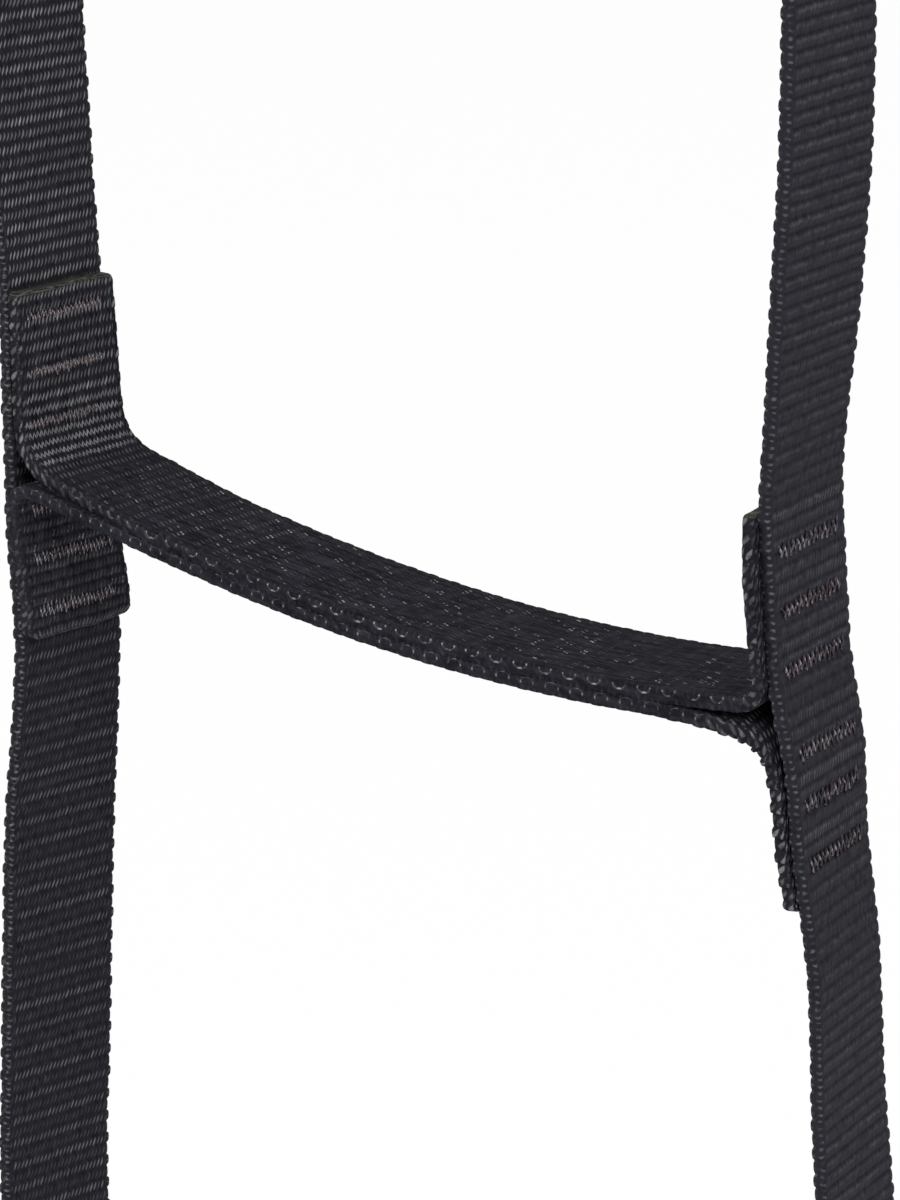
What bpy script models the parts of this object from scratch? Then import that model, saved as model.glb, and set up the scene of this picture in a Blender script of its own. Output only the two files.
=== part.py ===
"""Ladder etrier of flat webbing: two rails, three doubled treads, bar tacks and a sewn clip-in eye.

Metres, +Z up. The rungs lie along X, the webbing's width along Y, and the origin is where a carabiner
bears at the top of the eye, so the ladder hangs below it. Each rail is one length of webbing on the
real thing; here it is cut where it flexes, just beyond the sewn ends of each step.
"""

import math

import bmesh
import bpy
from mathutils import Vector

# Webbing and thread
webbing_width = 0.025
webbing_thickness = 0.0025
selvage_round = 0.0006
fit_gap = 0.0003
flex_clearance = 0.0003

# Steps
step_count = 3
first_step_drop = 0.400
step_spacing = 0.330
half_spread = 0.095
tab_length = 0.0324
rail_overhang = 0.0104
tread_sag = 0.0078
upper_turn_radius = 0.0045
lower_turn_radius = 0.0035
rail_tail = 0.004

# Clip-in eye and the doubled legs sewn below it
eye_height = 0.050
eye_width = 0.028
leg_length = 0.035
leg_margin = 0.006

# Bar tacks
tack_rows = 3
tack_length = 0.019
tack_width = 0.0021
tack_height = 0.0006
tack_core = 0.0008
tack_end_margin = 0.005

# How each bay between two steps hangs: the rails' extra spread where they leave a step, the ladder's
# shift towards +X at the top and foot of the bay, and how far each rail bows outwards at the upper
# and the lower of two heights in the bay, given as shares of the way down it
bay_spread = (-0.0004, 0.0081)
bay_shift_high = (0.0, 0.0037)
bay_shift_low = (-0.0031, 0.0020)
bow_shares = (0.25, 0.75)
bay_bow_left = ((0.0069, 0.0073), (0.0039, 0.0034))
bay_bow_right = ((0.0002, 0.0021), (0.0050, 0.0055))

# How finely curved runs are divided
turn_segments = 6
tread_segments = 15
tab_segments = 5
eye_arc_segments = 14
eye_side_segments = 7
bay_segments = 12
top_segments = 14
station_segments = 16
end_angles = (28.0, 56.0, 80.0)

# Colours, roughness
webbing_look = ((0.018, 0.019, 0.022, 1.0), 0.82)
tread_look = ((0.015, 0.016, 0.019, 1.0), 0.80)
thread_look = ((0.034, 0.029, 0.030, 1.0), 0.62)

# Worked out from the sizes above
half_thickness = webbing_thickness / 2
leg_offset = half_thickness + fit_gap / 2
tab_offset = webbing_thickness + fit_gap
flex_height = tab_length + rail_overhang
head_end_radius = leg_offset + half_thickness
head_axis_drop = eye_height + leg_length + flex_clearance + head_end_radius
tread_end_slope = 2 * tread_sag / (half_spread - tab_offset)
lower_turn_end = leg_offset + (lower_turn_radius + half_thickness) * (1 + tread_end_slope)
step_levels = [-(first_step_drop + step_spacing * index) for index in range(step_count)]
sides = {"left": -1, "right": 1}


def clear_scene():
    for obj in list(bpy.data.objects):
        bpy.data.objects.remove(obj, do_unlink=True)


def finish(name, look):
    """A Principled material with the given colour and roughness."""
    material = bpy.data.materials.new(name)
    material.use_nodes = True
    shader = material.node_tree.nodes["Principled BSDF"]
    shader.inputs["Base Color"].default_value = look[0]
    shader.inputs["Roughness"].default_value = look[1]
    shader.inputs["Metallic"].default_value = 0.0
    material.diffuse_color = look[0]
    return material


def pivot(name, place, parent=None):
    """An empty on a joint's axis. The pieces of that body hang from it."""
    empty = bpy.data.objects.new(name, None)
    bpy.context.collection.objects.link(empty)
    empty["place"] = place
    if parent:
        empty.parent = parent
        empty.location = place - Vector(parent["place"])
    else:
        empty.location = place
    return empty


def add_object(name, mesh, body, material=None):
    obj = bpy.data.objects.new(name, mesh)
    bpy.context.collection.objects.link(obj)
    obj.parent = body
    if material:
        mesh.materials.append(material)
        mesh.shade_smooth()
        mesh.set_sharp_from_angle(angle=math.radians(35))
    return obj


def loft(name, loops, body):
    """A closed mesh through loops of points that match one to one, seen from the body's pivot."""
    origin = Vector(body["place"])
    frame = bmesh.new()
    rings = [[frame.verts.new(point - origin) for point in loop] for loop in loops]
    for ring, following in zip(rings, rings[1:]):
        for index in range(len(ring)):
            after = (index + 1) % len(ring)
            frame.faces.new((ring[index], ring[after], following[after], following[index]))
    frame.faces.new(rings[0])
    frame.faces.new(rings[-1])
    bmesh.ops.recalc_face_normals(frame, faces=frame.faces)
    mesh = bpy.data.meshes.new(name)
    frame.to_mesh(mesh)
    frame.free()
    return mesh


def webbing_section(centre, normal, thin):
    """The eight corners of the webbing's cross-section, whose width lies along Y."""
    width = Vector((0, webbing_width / 2, 0))
    inset = Vector((0, selvage_round, 0))
    round_off = min(selvage_round, thin / 2)
    thick = normal * thin
    slim = normal * (thin - round_off)
    return [
        centre + thick - width + inset,
        centre + slim - width,
        centre - slim - width,
        centre - thick - width + inset,
        centre - thick + width - inset,
        centre - slim + width,
        centre + slim + width,
        centre + thick + width - inset,
    ]


def normal_of(direction):
    return Vector((direction.z, 0, -direction.x)).normalized()


def round_end(point, outward):
    """Sections of a half-round end whose axis passes through the point."""
    sections = []
    for degrees in end_angles:
        angle = math.radians(degrees)
        centre = point + outward * half_thickness * math.sin(angle)
        sections.append((centre, half_thickness * math.cos(angle)))
    return sections


def head_end(side):
    """Sections of a rail's top end. The two rails' ends together are half round about the head's axis."""
    sections = []
    for degrees in reversed(end_angles):
        angle = math.radians(degrees)
        inner = fit_gap / 2
        outer = head_end_radius * math.cos(angle)
        height = head_end_radius * math.sin(angle) - head_axis_drop
        centre = Vector((side * (inner + outer) / 2, 0, height))
        sections.append(webbing_section(centre, Vector((-1, 0, 0)), (outer - inner) / 2))
    return sections


def strap(name, path, body, material, round_ends=False, lead=(), slots=()):
    """Webbing swept along a path in the XZ plane, with slots cut through it for its bar tacks.

    lead holds sections that come before the path's own.
    """
    runs = [(after - before).normalized() for before, after in zip(path, path[1:])]
    directions = [runs[0]]
    directions += [(before + after).normalized() for before, after in zip(runs, runs[1:])]
    directions.append(runs[-1])
    sections = [
        webbing_section(point, normal_of(direction), half_thickness)
        for point, direction in zip(path, directions)
    ]
    if round_ends:
        normal = normal_of(directions[0])
        ends = round_end(path[0], -directions[0])
        sections = [webbing_section(c, normal, thin) for c, thin in reversed(ends)] + sections
        normal = normal_of(directions[-1])
        ends = round_end(path[-1], directions[-1])
        sections += [webbing_section(c, normal, thin) for c, thin in ends]
    piece = add_object(name, loft(name, list(lead) + sections, body), body, material)
    if slots:
        cut_slots(piece, slots, body)
    return piece


def box_loops(centre, along, across, half_along, half_across, half_length):
    """Two facing loops of a box whose length lies along Y."""
    corners = [(-1, -1), (1, -1), (1, 1), (-1, 1)]
    return [
        [
            centre + along * half_along * a + across * half_across * b + Vector((0, y, 0))
            for a, b in corners
        ]
        for y in (-half_length, half_length)
    ]


def cut_slots(piece, slots, body):
    """Cuts a slot for each tack's core, with the fitting gap all round."""
    cutters = bmesh.new()
    for centre, along, across in slots:
        loops = box_loops(
            centre,
            along,
            across,
            tack_core / 2 + fit_gap,
            webbing_thickness * 2,
            tack_length / 2 + fit_gap,
        )
        cutters.from_mesh(loft(piece.name + "_slot", loops, body))
    mesh = bpy.data.meshes.new(piece.name + "_slots")
    cutters.to_mesh(mesh)
    cutters.free()
    cutter = add_object(piece.name + "_slots", mesh, body)
    cutter.hide_render = True
    cutter.display_type = "WIRE"
    cut = piece.modifiers.new("slots", "BOOLEAN")
    cut.operation = "DIFFERENCE"
    cut.solver = "EXACT"
    cut.object = cutter


def bar_tack(name, centre, along, across, low_face, high_face, body, material):
    """A zigzag bar of thread: a ridge on each face of the sewn webbing and the stitches between them.

    low_face and high_face are the webbing's outer faces, measured from the centre along across.
    """
    core = tack_core / 2
    wide = tack_width / 2
    crown = wide - tack_height / 2
    low_foot = low_face - fit_gap
    low_top = low_foot - tack_height
    high_foot = high_face + fit_gap
    high_top = high_foot + tack_height
    outline = [
        (-crown, low_top),
        (crown, low_top),
        (wide, low_foot),
        (core, low_foot),
        (core, high_foot),
        (wide, high_foot),
        (crown, high_top),
        (-crown, high_top),
        (-wide, high_foot),
        (-core, high_foot),
        (-core, low_foot),
        (-wide, low_foot),
    ]
    loops = [
        [centre + along * a + across * b + Vector((0, y, 0)) for a, b in outline]
        for y in (-tack_length / 2, tack_length / 2)
    ]
    add_object(name, loft(name, loops, body), body, material)


def hermite(knots, place):
    """A smooth curve through (place, value) knots, whose slope at a knot is that of its neighbours."""
    knots = sorted(knots)
    slopes = []
    for index in range(len(knots)):
        low = knots[max(index - 1, 0)]
        high = knots[min(index + 1, len(knots) - 1)]
        slopes.append((high[1] - low[1]) / (high[0] - low[0]))
    index = 0
    while index < len(knots) - 2 and place > knots[index + 1][0]:
        index += 1
    low, high = knots[index], knots[index + 1]
    run = high[0] - low[0]
    u = (place - low[0]) / run
    return (
        (2 * u**3 - 3 * u**2 + 1) * low[1]
        + (u**3 - 2 * u**2 + u) * run * slopes[index]
        + (3 * u**2 - 2 * u**3) * high[1]
        + (u**3 - u**2) * run * slopes[index + 1]
    )


def flex_offset(bay, end_shift, side):
    """How far a rail stands outside the step's ends where it flexes, at one end of a bay."""
    return bay_spread[bay] / 2 + side * end_shift[bay]


def rail_knots(side):
    """(height, distance outside the step's ends) of one rail from the head to the last step."""
    bow = bay_bow_left if side < 0 else bay_bow_right
    run_in = first_step_drop - head_axis_drop
    fan = (half_spread - leg_offset) / run_in
    knots = [(-head_axis_drop, leg_offset - half_spread)]
    knots.append((step_levels[0] + flex_height, -fan * flex_height / 2))
    for bay in range(step_count - 1):
        above = step_levels[bay] - flex_height
        below = step_levels[bay + 1] + flex_height
        high = flex_offset(bay, bay_shift_high, side)
        low = flex_offset(bay, bay_shift_low, side)
        knots.append((step_levels[bay], 0.0))
        knots.append((above, high))
        for share, outwards in zip(bow_shares, bow[bay]):
            place = above + (below - above) * share
            knots.append((place, high + (low - high) * share + outwards))
        knots.append((below, low))
    knots.append((step_levels[-1], 0.0))
    knots.append((step_levels[-1] - flex_height, 0.0))
    return knots


def rail_point(side, level):
    """The middle of the rail's thickness at a height."""
    out = half_spread + hermite(rail_knots(side), level)
    return Vector((side * out, 0, level))


def rail_frame(side, level):
    """(point, direction upwards, direction inwards) of the rail at a height."""
    probe = webbing_thickness
    upward = (rail_point(side, level + probe) - rail_point(side, level - probe)).normalized()
    inward = Vector((-side * upward.z, 0, side * upward.x))
    return rail_point(side, level), upward, inward


def rail_path(side, high, low, segments):
    return [
        rail_point(side, high + (low - high) * index / segments) for index in range(segments + 1)
    ]


def tack_levels(step, way):
    """Heights of a tab's bar tacks, from the turn to the cut end."""
    first = lower_turn_end + tack_width / 2
    last = tab_length - tack_end_margin
    pitch = (last - first) / (tack_rows - 1)
    return [step_levels[step] + way * (first + pitch * row) for row in range(tack_rows)]


def rail_slots(side, step):
    slots = []
    for way in (1, -1):
        slots += [rail_frame(side, level) for level in tack_levels(step, way)]
    return slots


def tab_slots(step, way):
    slots = []
    for side in sides.values():
        for level in tack_levels(step, way):
            point, upward, inward = rail_frame(side, level)
            slots.append((point + inward * tab_offset, upward, inward))
    return slots


def turn(corner, arriving, leaving, radius):
    """Points round a bend of the given radius, in place of a sharp corner."""
    angle = arriving.angle(leaving)
    start = corner - arriving * radius * math.tan(angle / 2)
    towards_centre = (leaving - arriving * arriving.dot(leaving)).normalized()
    points = []
    for index in range(turn_segments + 1):
        swept = angle * index / turn_segments
        points.append(
            start
            + arriving * radius * math.sin(swept)
            + towards_centre * radius * (1 - math.cos(swept))
        )
    return points


def tread_half(side, step, way, radius):
    """One half of a tread strap, from its tab's cut end round the turn."""
    level = step_levels[step]
    bend = level + way * leg_offset
    point, upward, inward = rail_frame(side, bend)
    corner = point + inward * tab_offset
    into_tread = Vector((-side, 0, -tread_end_slope)).normalized()
    turn_points = turn(corner, upward * -way, into_tread, radius)
    first = turn_points[0].z
    tab = []
    for index in range(tab_segments):
        at = level + way * tab_length
        at += (first - at) * index / tab_segments
        place, _, in_here = rail_frame(side, at)
        tab.append(place + in_here * tab_offset)
    return tab + turn_points


def tread_path(step, way, inner_radius):
    """A tread strap's whole path: up or down the left rail, across with a sag, and along the right."""
    radius = inner_radius + half_thickness
    left = tread_half(-1, step, way, radius)
    right = tread_half(1, step, way, radius)
    start, finish_at = left[-1], right[-1]
    middle = (start.x + finish_at.x) / 2
    half = (finish_at.x - start.x) / 2
    edge = (start.z + finish_at.z) / 2
    depth = tread_sag - (step_levels[step] + way * leg_offset - edge)
    across = []
    for index in range(1, tread_segments):
        share = 2 * index / tread_segments - 1
        across.append(Vector((middle + half * share, 0, edge - depth * (1 - share**2))))
    return left + across + right[::-1]


def eye_path():
    """The clip-in eye and its two legs, from the left leg's foot over the top to the right leg's."""
    inside = eye_width / 2
    radius = inside + half_thickness
    foot = eye_height + leg_length
    left = []
    for index in range(eye_side_segments):
        u = index / eye_side_segments
        ease = u * u * (3 - 2 * u)
        x = leg_offset + (radius - leg_offset) * ease
        left.append(Vector((-x, 0, -eye_height + (eye_height - inside) * u)))
    arc = []
    for index in range(eye_arc_segments + 1):
        angle = math.pi * (1 - index / eye_arc_segments)
        arc.append(Vector((radius * math.cos(angle), 0, radius * math.sin(angle) - inside)))
    right = [Vector((-point.x, 0, point.z)) for point in reversed(left)]
    feet = [Vector((-leg_offset, 0, -foot)), Vector((leg_offset, 0, -foot))]
    return [feet[0]] + left + arc + right + [feet[1]]


def build_head(body, webbing, thread):
    up, across = Vector((0, 0, 1)), Vector((1, 0, 0))
    first = eye_height + leg_margin
    pitch = (leg_length - 2 * leg_margin) / (tack_rows - 1)
    levels = [-(first + pitch * row) for row in range(tack_rows)]
    slots = [(Vector((0, 0, level)), up, across) for level in levels]
    strap("head_loop", eye_path(), body, webbing, slots=slots)
    for row, level in enumerate(levels):
        name = f"head_tack_{row + 1}"
        centre = Vector((0, 0, level))
        bar_tack(name, centre, up, across, -head_end_radius, head_end_radius, body, thread)


def build_step(step, body, webbing, tread, thread):
    """One step: both rails through it, the two stacked tread straps and their bar tacks."""
    number = step + 1
    level = step_levels[step]
    flat_gap = half_thickness + flex_clearance
    for word, side in sides.items():
        high = level + flex_height - flat_gap
        low = level - flex_height + flat_gap
        if step == step_count - 1:
            low = level - tab_length - rail_tail
        path = rail_path(side, high, low, station_segments)
        lead = []
        if step == 0:
            path = rail_path(side, -head_axis_drop, high, top_segments)[:-1] + path
            lead = head_end(side)
        name = f"rail_{word}_{number}"
        strap(name, path, body, webbing, lead=lead, slots=rail_slots(side, step))
    treads = (("upper", 1, upper_turn_radius), ("lower", -1, lower_turn_radius))
    for layer, way, radius in treads:
        path = tread_path(step, way, radius)
        strap(f"tread_{layer}_{number}", path, body, tread, slots=tab_slots(step, way))
        for word, side in sides.items():
            for row, height in enumerate(tack_levels(step, way)):
                name = f"tack_{number}_{word}_{layer}_{row + 1}"
                point, upward, inward = rail_frame(side, height)
                outer, inner = -half_thickness, tab_offset + half_thickness
                bar_tack(name, point, upward, inward, outer, inner, body, thread)


def build_bay(bay, side, word, body, webbing):
    """A rail's free run between two steps, round-ended on its two lines of flex."""
    high = step_levels[bay] - flex_height
    low = step_levels[bay + 1] + flex_height
    path = rail_path(side, high, low, bay_segments)
    strap(f"rail_{word}_bay_{bay + 1}", path, body, webbing, round_ends=True)


def build():
    clear_scene()
    webbing = finish("rail_webbing", webbing_look)
    tread = finish("tread_webbing", tread_look)
    thread = finish("bar_tack_thread", thread_look)
    head = pivot("head", Vector((0, 0, 0)))
    build_head(head, webbing, thread)
    body = pivot("step_1", Vector((0, 0, -head_axis_drop)), head)
    build_step(0, body, webbing, tread, thread)
    for bay in range(step_count - 1):
        high = step_levels[bay] - flex_height
        low = step_levels[bay + 1] + flex_height
        runs = {}
        for word, side in sides.items():
            runs[word] = pivot(f"bay_{bay + 1}_{word}", rail_point(side, high), body)
            build_bay(bay, side, word, runs[word], webbing)
        body = pivot(f"step_{bay + 2}", rail_point(sides["left"], low), runs["left"])
        build_step(bay + 1, body, webbing, tread, thread)


build()
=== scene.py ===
"""Ladder etrier of black webbing: rails, eye, three doubled treads and their bar tacks."""

import math

import bmesh
import bpy
import numpy as np
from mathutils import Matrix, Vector, noise


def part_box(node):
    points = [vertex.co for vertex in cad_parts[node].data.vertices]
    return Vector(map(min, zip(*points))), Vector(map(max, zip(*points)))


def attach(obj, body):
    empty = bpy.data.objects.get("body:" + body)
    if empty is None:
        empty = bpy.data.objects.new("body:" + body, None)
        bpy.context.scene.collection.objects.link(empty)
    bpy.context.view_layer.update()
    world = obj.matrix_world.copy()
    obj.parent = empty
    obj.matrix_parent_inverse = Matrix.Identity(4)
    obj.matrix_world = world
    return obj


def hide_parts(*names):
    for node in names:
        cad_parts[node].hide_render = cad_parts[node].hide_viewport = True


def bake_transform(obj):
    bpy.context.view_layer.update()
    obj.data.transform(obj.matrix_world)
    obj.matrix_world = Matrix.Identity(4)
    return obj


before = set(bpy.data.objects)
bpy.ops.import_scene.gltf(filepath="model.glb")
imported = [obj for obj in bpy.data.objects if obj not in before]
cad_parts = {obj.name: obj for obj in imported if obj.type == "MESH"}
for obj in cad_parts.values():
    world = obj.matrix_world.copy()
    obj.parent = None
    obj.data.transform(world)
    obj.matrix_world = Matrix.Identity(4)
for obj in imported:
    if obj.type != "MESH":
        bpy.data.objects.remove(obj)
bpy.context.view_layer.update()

# Rail webbing and clip-in eye
# One length of flat nylon webbing, 25 mm wide: twisted warp yarns over doubled weft picks, which
# show as cross ribs. It runs up the left side, round the eye and down the right side. Both ends
# are cut hot, so they close in a hard melted edge.
half_width = 0.01257
crown_thickness = 0.00137
rib_pitch = 0.00239
rail_ribbing = 0.00018
yarn_height = 0.00005
yarn_slant = 0.00026
yarn_lean = 0.30
yarn_columns = 25
selvage_depth = 0.00125
selvage_units = 3
selvage_scallop = 0.00056
selvage_alternate = 0.80
edge_wander = 0.00028
melted_length = 0.0004
plain_near_cut = 0.0024
weave_returns = 0.0008
cut_waver = 0.0006
waver_reach = 0.0025
press_reach = 0.0017
press_depth = 0.00016
# A highlight is painted beside each row of stitches: how far from the row, how wide and how strong
highlight_beside = 0.0040
highlight_reach = 0.0020
highlight_gain = 0.36
curl_start = 0.002

# Where the straps lie: their offsets from each other, the rails' spread, the steps and the eye
layer_offset = 0.0014
tab_offset = 0.0026
half_spread = 0.095
step_levels = (-0.400, -0.730, -1.060)
sewn_length = 0.0324
spare_foot = 0.004
rail_foot = step_levels[-1] - sewn_length - spare_foot
head_axis = -0.08795
eye_height = 0.050
eye_inside = 0.014
half_thickness = 0.00125
eye_radius = eye_inside + half_thickness

# How far each rail stands outside the steps' ends, at heights from the head down
rail_knots = {
    -1: (
        (-0.08795, -0.0936), (-0.3572, -0.006419), (-0.400, 0.0), (-0.4428, -0.0002),
        (-0.5039, 0.0075), (-0.560, 0.0095), (-0.600, 0.0093), (-0.622, 0.0086), (-0.636, 0.0080),
        (-0.647, 0.0069), (-0.658, 0.0058), (-0.669, 0.0045), (-0.6785, 0.0037), (-0.6872, 0.0028),
        (-0.696, 0.0021), (-0.714, 0.0018), (-0.730, 0.0012), (-0.738, 0.0012), (-0.747, 0.0007),
        (-0.757, -0.0004), (-0.766, -0.0007), (-0.7728, -0.0002), (-0.782, 0.0007),
        (-0.795, 0.0020), (-0.810, 0.0032), (-0.825, 0.0042), (-0.840, 0.0049), (-0.856, 0.0058),
        (-0.872, 0.0068), (-0.900, 0.0065), (-0.930, 0.0056), (-0.9561, 0.0050),
        (-1.0172, 0.00205), (-1.060, 0.0), (-1.1028, 0.0),
    ),
    1: (
        (-0.08795, -0.0936), (-0.3572, -0.006419), (-0.400, 0.0), (-0.4428, -0.0002),
        (-0.5039, -0.0008), (-0.560, -0.0004), (-0.600, -0.0002), (-0.628, 0.0), (-0.640, 0.0),
        (-0.652, -0.0006), (-0.660, -0.0012), (-0.668, -0.0017), (-0.678, -0.0025),
        (-0.6872, -0.0033), (-0.697, -0.0037), (-0.707, -0.0030), (-0.718, -0.0019),
        (-0.724, -0.0013), (-0.730, 0.0), (-0.735, 0.0014), (-0.740, 0.0026), (-0.746, 0.0033),
        (-0.754, 0.0041), (-0.763, 0.0058), (-0.7728, 0.0076), (-0.784, 0.0086),
        (-0.796, 0.0094), (-0.808, 0.0106), (-0.820, 0.0117), (-0.850, 0.0126),
        (-0.880, 0.0130), (-0.9561, 0.0120), (-1.0172, 0.00605), (-1.060, 0.0), (-1.1028, 0.0),
    ),
}

# How far each rail hangs turned about its own length beside the middle step: (height, degrees)
rail_turn = {
    -1: (
        (-0.460, 0.0), (-0.560, -1.5), (-0.622, -2.9), (-0.647, -0.8), (-0.669, 2.4),
        (-0.6872, 4.6), (-0.705, 4.1), (-0.722, 2.4), (-0.738, 1.5), (-0.757, 1.4),
        (-0.7728, 0.5), (-0.795, -2.6), (-0.825, -3.4), (-0.856, -3.4), (-0.930, -1.0),
        (-0.980, 0.0),
    ),
    1: (
        (-0.450, 0.0), (-0.520, 5.0), (-0.560, 7.5), (-0.604, 9.8), (-0.628, 9.7),
        (-0.652, 9.6), (-0.668, 10.5), (-0.6872, 13.4), (-0.707, 13.4), (-0.724, 13.7),
        (-0.746, 15.7), (-0.763, 17.7), (-0.784, 17.8), (-0.808, 16.3), (-0.850, 11.6),
        (-0.930, 6.0), (-1.000, 0.0),
    ),
}
turn_full_at = 0.086

# How strong the highlights painted on the yarns are along each rail, strongest where the lamps
# catch them
rail_painted_sheen = {
    -1: (
        (-0.080, 0.75), (-0.660, 1.0), (-0.7295, 0.9), (-0.7305, 0.42), (-0.790, 0.46),
        (-1.10, 0.5),
    ),
    1: (
        (-0.080, 0.75), (-0.400, 0.5), (-0.600, 0.12), (-0.680, 0.05), (-0.820, 0.08),
        (-1.10, 0.4),
    ),
}
rail_evenness = {
    -1: ((-0.080, 0.2), (-0.500, 0.0), (-1.10, 0.0)),
    1: (
        (-0.080, 0.2), (-0.400, 0.5), (-0.560, 0.9), (-0.665, 0.9), (-0.700, 0.55),
        (-0.770, 0.55), (-0.795, 0.85), (-0.835, 0.7), (-0.900, 0.6), (-1.10, 0.3),
    ),
}


def smooth_through(knots, place):
    """A smooth curve through (place, value) knots, as the model's rails are drawn."""
    knots = sorted(knots)
    places = np.array([knot[0] for knot in knots])
    values = np.array([knot[1] for knot in knots])
    near = np.concatenate([[0], np.arange(len(knots) - 2), [len(knots) - 2]])
    far = np.concatenate([[1], np.arange(2, len(knots)), [len(knots) - 1]])
    slopes = (values[far] - values[near]) / (places[far] - places[near])
    index = np.clip(np.searchsorted(places, place, side="left") - 1, 0, len(knots) - 2)
    run = places[index + 1] - places[index]
    u = (place - places[index]) / run
    return (
        (2 * u**3 - 3 * u**2 + 1) * values[index]
        + (u**3 - 2 * u**2 + u) * run * slopes[index]
        + (3 * u**2 - 2 * u**3) * values[index + 1]
        + (u**3 - u**2) * run * slopes[index + 1]
    )


def rail_points(side, levels):
    """The middle of a rail, on the left (-1) or right (1), at heights, in the XZ plane."""
    out = half_spread + smooth_through(rail_knots[side], levels)
    return np.column_stack([side * out, levels])


slope_span = 0.0025


def rail_frame(side, level):
    """(point, direction upwards, direction inwards) of the rail in the XZ plane."""
    low, point, high = rail_points(side, level + slope_span * np.array([-1.0, 0.0, 1.0]))
    upward = (high - low) / np.linalg.norm(high - low)
    return point, upward, np.array([-side * upward[1], side * upward[0]])


def turned(points):
    """Turns the rails and what is sewn to them about their length, fading out along the treads."""
    x, y, z = points.T.copy()
    degrees = np.zeros(len(z))
    for side, knots in rail_turn.items():
        here = smooth_through(knots, np.clip(z, knots[-1][0], knots[0][0]))
        degrees = np.where(x * side > 0, here, degrees)
    reach = np.clip(np.abs(x) / turn_full_at, 0, 1)
    turn = np.radians(degrees) * reach * reach * (3 - 2 * reach)
    points[:, 0] = x - y * np.sin(turn)
    points[:, 1] = y * np.cos(turn)
    return points


class Course:
    """The line that a strap's mid-thickness follows in the XZ plane, measured along its length."""

    def __init__(self, points):
        self.points = np.array(points)
        steps = np.linalg.norm(np.diff(self.points, axis=0), axis=1)
        self.run = np.concatenate([[0], np.cumsum(steps)])
        self.length = self.run[-1]
        self.slopes = np.gradient(self.points, self.run, axis=0)

    def at(self, distances):
        x, z = (np.interp(distances, self.run, self.points[:, k]) for k in (0, 1))
        dx, dz = (np.interp(distances, self.run, self.slopes[:, k]) for k in (0, 1))
        beyond = np.clip(distances, None, 0) + np.clip(distances - self.length, 0, None)
        size = np.hypot(dx, dz)
        dx, dz = dx / size, dz / size
        return x + dx * beyond, z + dz * beyond, dx, dz

    def nearest(self, point):
        """Distance along the course of its nearest place to a point."""
        away = np.linalg.norm(self.points - np.array(point), axis=1)
        return self.run[np.argmin(away)]


def placed(name, data):
    """A new object with this data, in the scene, at the origin."""
    piece = bpy.data.objects.new(name, data)
    bpy.context.collection.objects.link(piece)
    return piece


def wrapped(name, around, along, place, spots, marks=()):
    """A tube made from a flat grid that is wrapped round and closed at both ends.

    place gives the points of a ring by number, spots the UV of each column and ring, and marks the
    names and ring values of the attributes that the material reads.
    """
    tube = bmesh.new()
    tube.loops.layers.uv.new("weave")
    layers = {word: tube.verts.layers.float.new(word) for word in dict(marks)}
    bmesh.ops.create_grid(tube, x_segments=around, y_segments=along, size=0.5, calc_uvs=True)
    tube.verts.ensure_lookup_table()
    flat = np.array([vert.co[:2] for vert in tube.verts])
    column = np.rint((flat[:, 0] + 0.5) * around).astype(int)
    ring = np.rint((flat[:, 1] + 0.5) * along).astype(int)
    points = place(column, ring)
    for vert, point, at in zip(tube.verts, points, ring):
        vert.co = point
        for word, layer in layers.items():
            vert[layer] = marks[word][at]
    bmesh.ops.remove_doubles(tube, verts=tube.verts, dist=1e-7)
    rims = [edge for edge in tube.edges if edge.is_boundary]
    bmesh.ops.holes_fill(tube, edges=rims, sides=0)
    for cap in (face for face in tube.faces if len(face.verts) > 4):
        for edge in cap.edges:
            edge.smooth = False
    bmesh.ops.recalc_face_normals(tube, faces=tube.faces)
    mesh = bpy.data.meshes.new(name)
    tube.to_mesh(mesh)
    tube.free()
    mesh.shade_smooth()
    mesh.set_sharp_from_angle(angle=math.radians(80))
    layer = mesh.uv_layers["weave"].data
    uv = np.zeros(len(layer) * 2, np.float32)
    layer.foreach_get("uv", uv)
    uv = uv.reshape(-1, 2)
    u = np.interp(uv[:, 0] * around, np.arange(around + 1), spots[0])
    v = np.interp(uv[:, 1] * along, np.arange(along + 1), spots[1])
    layer.foreach_set("uv", np.column_stack([u, v]).astype(np.float32).ravel())
    return placed(name, mesh)


# Rings of points along each rib, columns round the strap, and how thick its ends are: (inset from
# the end, share of the full thickness)
rib_rings = (0.0, 0.22, 0.5, 0.78)
rib_roundness = 2.4
pressed_flat = 0.55
course_samples = 6001
face_columns = 2 * yarn_columns
selvage_columns = 6
strap_columns = 2 * (face_columns + selvage_columns)
cut_end = (
    (0.0, 0.78), (0.00012, 0.95), (0.0004, 1.04), (0.0008, 1.02), (0.0014, 1.0), (0.0021, 1.0),
)
pivot_end = tuple(
    (-math.sin(math.radians(a)) * crown_thickness, math.cos(math.radians(a)))
    for a in (82, 60, 35, 0)
)


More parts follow.
